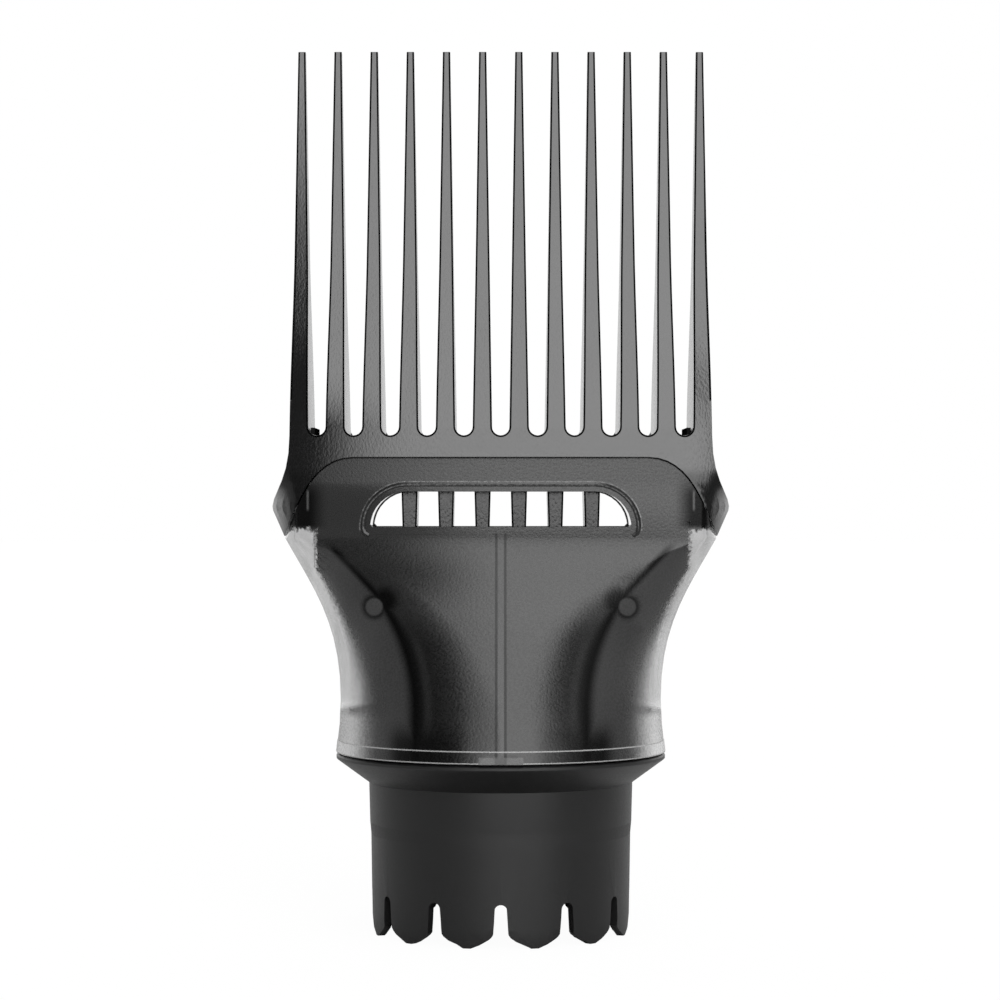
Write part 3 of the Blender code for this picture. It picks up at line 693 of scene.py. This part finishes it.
def sideways_lean(x, z):
    """How far the comb's front leans over sideways: a crowned header, outer teeth and arm tips."""
    out = abs(x) / header_half_width
    crown = crown_middle * out ** crown_power + crown_end * out ** (2 * crown_power)
    outer = (outer_root_lean * (1 - ease(z, *outer_root_fade))
             + outer_blade_lean * (1 - ease(z, *outer_blade_fade)))
    if abs(x) <= outer_slot:
        outer = 0.0
    past = max(abs(x) - arm_turn, 0.0) / (arm_reach - arm_turn)
    arm = arm_lean * past * (1 - ease(z, *arm_fade))
    side_share = 1.0 if x < 0 else crown_right_share
    return math.copysign(side_share * (header_share(z) * crown + (1 - header_share(z)) * outer) + arm, x)


def shade_comb(mesh):
    """Shades the comb's front and back faces as one smooth crown, not as facets."""
    faces = [face for face in mesh.polygons
             if abs(face.normal.y) > front_normal
             or abs(face.normal.y) > corner_normal and abs(face.center.x) > half_span
             and face.center.z < arm_top]
    sums = {}
    for face in faces:
        rise = face.normal.z if abs(face.normal.y) > front_normal else 0.0
        normal = Vector((0.0, face.normal.y, rise)).normalized() * face.area
        for index in face.vertices:
            key = (index, face.normal.y > 0)
            sums[key] = sums.get(key, Vector()) + normal
    normals = [Vector() for loop in mesh.loops]
    for face in faces:
        for loop in face.loop_indices:
            index = mesh.loops[loop].vertex_index
            place = mesh.vertices[index].co
            normal = sums[(index, face.normal.y > 0)].normalized()
            if (place.z > header_foot or abs(place.y) > duct_front_half_depth
                    or abs(place.x) > duct_front_half_width):
                normal.x = sideways_lean(place.x, place.z)
                normal.z += header_tilt * header_share(place.z)
            normals[loop] = normal.normalized()
    mesh.normals_split_custom_set(normals)


def make_skin(name, material):
    """A copy of a CAD node's surface that is smooth over its facets and sharp at its edges."""
    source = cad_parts[name].data.copy()
    if "custom_normal" in source.attributes:
        source.attributes.remove(source.attributes["custom_normal"])
    bm = bmesh.new()
    bm.from_mesh(source)
    bmesh.ops.remove_doubles(bm, verts=bm.verts, dist=weld_distance)
    bmesh.ops.dissolve_limit(bm, angle_limit=flat_angle, verts=bm.verts, edges=bm.edges)
    mesh = bpy.data.meshes.new(f"{name}_skin")
    bm.to_mesh(mesh)
    bm.free()
    bpy.data.meshes.remove(source)
    mesh.shade_smooth()
    mesh.set_sharp_from_angle(angle=sharp_angle)
    mesh.materials.clear()
    mesh.materials.append(material)
    skin = bpy.data.objects.new(f"{name}_skin", mesh)
    bpy.context.scene.collection.objects.link(skin)
    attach(skin, "root")
    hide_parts(name)
    return skin


def weigh_normals(skin):
    """Lets a skin's large faces set the shading of the small ones beside them."""
    skin.modifiers.new("normals", "WEIGHTED_NORMAL").keep_sharp = True


def make_skins():
    """One skin for each piece; both halves of the housing share one plastic."""
    smoke = smoke_plastic()
    shade_comb(make_skin("comb", comb_plastic()).data)
    weigh_normals(make_skin("front_shell", smoke))
    weigh_normals(make_skin("rear_shell", smoke))
    weigh_normals(make_skin("inner_ring", ring_plastic()))
    weigh_normals(make_skin("collar", collar_rubber()))


def seen_share(tree):
    """Whole for what the camera sees, also through something clear, and nothing for other light."""
    path = add_node(tree, "ShaderNodeLightPath")
    return most(Field(path.outputs["Is Camera Ray"]), Field(path.outputs["Is Transmission Ray"]))


def make_floor():
    """A round pale floor: white to the camera, with the object's soft shadow on it."""
    bpy.ops.mesh.primitive_circle_add(vertices=floor_corners, radius=floor_radius, fill_type="NGON")
    floor = bpy.context.object
    floor.name = "floor"
    material = bpy.data.materials.new("floor_pale")
    material.use_nodes = True
    tree = material.node_tree
    tree.nodes.clear()
    matt = add_node(tree, "ShaderNodeBsdfDiffuse", {"Color": floor_colour})
    glow_strength = (1.0 - floor_shadow_share * floor_level) / (1.0 - floor_shadow_share)
    glow = add_node(tree, "ShaderNodeEmission", {"Strength": glow_strength})
    mixed = add_node(tree, "ShaderNodeMixShader", {0: seen_share(tree) * (1.0 - floor_shadow_share),
                                                   1: Field(matt.outputs[0]),
                                                   2: Field(glow.outputs[0])})
    add_node(tree, "ShaderNodeOutputMaterial", {"Surface": Field(mixed.outputs[0])})
    floor.data.materials.append(material)


def make_studio():
    """The world: white behind the object, a wide softbox in front of it and soft fill at its sides."""
    world = bpy.data.worlds.new("studio")
    bpy.context.scene.world = world
    world.use_nodes = True
    tree = world.node_tree
    tree.nodes.clear()
    direction = Field(add_node(tree, "ShaderNodeTexCoord").outputs["Generated"])
    across, away, up = split(direction)
    spread = across * (up * up * softbox_narrowing + 1.0)
    softbox = ramp(spread, *softbox_left) * until(spread, *softbox_right) * until(away, *softbox_back)
    left = until(across, *left_fade) * left_strength
    right = ramp(across, *right_fade) * right_strength
    strip = ramp(across, *strip_inner) * until(across, *strip_outer) * strip_strength
    light = softbox * softbox_strength + room_strength + left + right + strip
    light = mix(ramp(away, *backdrop_fade), light, backdrop_strength)
    light = mix(seen_share(tree), light, backdrop_strength)
    glow = add_node(tree, "ShaderNodeBackground", {"Color": white, "Strength": light})
    add_node(tree, "ShaderNodeOutputWorld", {"Surface": Field(glow.outputs[0])})


def make_camera():
    """A long lens straight in front of the object."""
    data = bpy.data.cameras.new("camera")
    data.lens = lens
    data.sensor_width = sensor
    data.clip_start = near_clip
    camera = bpy.data.objects.new("camera", data)
    bpy.context.scene.collection.objects.link(camera)
    camera.location = camera_place
    camera.rotation_euler = (math.pi / 2, 0.0, 0.0)
    bpy.context.scene.camera = camera


make_skins()
make_floor()
make_studio()
make_camera()
bpy.context.scene.view_settings.view_transform = "Standard"
